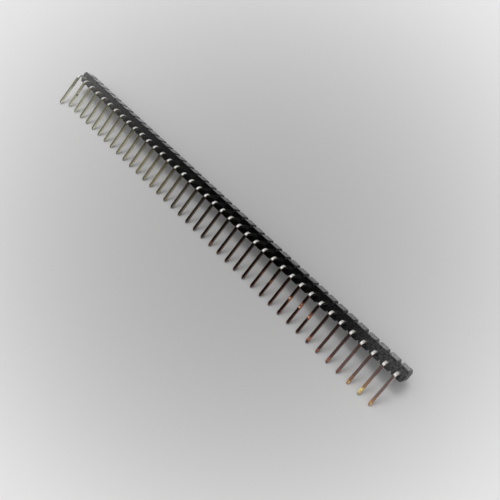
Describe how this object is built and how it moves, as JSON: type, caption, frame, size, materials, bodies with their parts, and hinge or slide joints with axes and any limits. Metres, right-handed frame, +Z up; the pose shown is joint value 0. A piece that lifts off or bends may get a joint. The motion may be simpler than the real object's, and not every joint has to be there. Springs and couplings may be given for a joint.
{
  "type": "pin header strip",
  "caption": "Right-angle break-away pin header strip: black moulded insulator bar with a single row of square contacts bent down in front of it.",
  "frame": {"origin": "on the table, below the middle of the strip as it lies: halfway along the row, and halfway between the foremost leg tip and the tail tips", "axes": "+X along the row, from the bent first contact to the last; -Y towards the side that the legs stand on; +Z up. The insulator is tilted 42.03 degrees about X, as the strip rests on its leg tips and tail tips"},
  "size_m": [0.1016, 0.0119, 0.0053],
  "materials": {
    "insulator_plastic": "black moulded plastic with a dull gloss",
    "contact_metal": "brass wire with a thin, partly tarnished flash of gold"
  },
  "bodies": {
    "root": {"insulator": "insulator_plastic", "pin_01": "contact_metal", "pin_02": "contact_metal", "pin_03": "contact_metal", "pin_04": "contact_metal", "pin_05": "contact_metal", "pin_06": "contact_metal", "pin_07": "contact_metal", "pin_08": "contact_metal", "pin_09": "contact_metal", "pin_10": "contact_metal", "pin_11": "contact_metal", "pin_12": "contact_metal", "pin_13": "contact_metal", "pin_14": "contact_metal", "pin_15": "contact_metal", "pin_16": "contact_metal", "pin_17": "contact_metal", "pin_18": "contact_metal", "pin_19": "contact_metal", "pin_20": "contact_metal", "pin_21": "contact_metal", "pin_22": "contact_metal", "pin_23": "contact_metal", "pin_24": "contact_metal", "pin_25": "contact_metal", "pin_26": "contact_metal", "pin_27": "contact_metal", "pin_28": "contact_metal", "pin_29": "contact_metal", "pin_30": "contact_metal", "pin_31": "contact_metal", "pin_32": "contact_metal", "pin_33": "contact_metal", "pin_34": "contact_metal", "pin_35": "contact_metal", "pin_36": "contact_metal", "pin_37": "contact_metal", "pin_38": "contact_metal", "pin_39": "contact_metal", "pin_40": "contact_metal"}
  },
  "joints": []
}
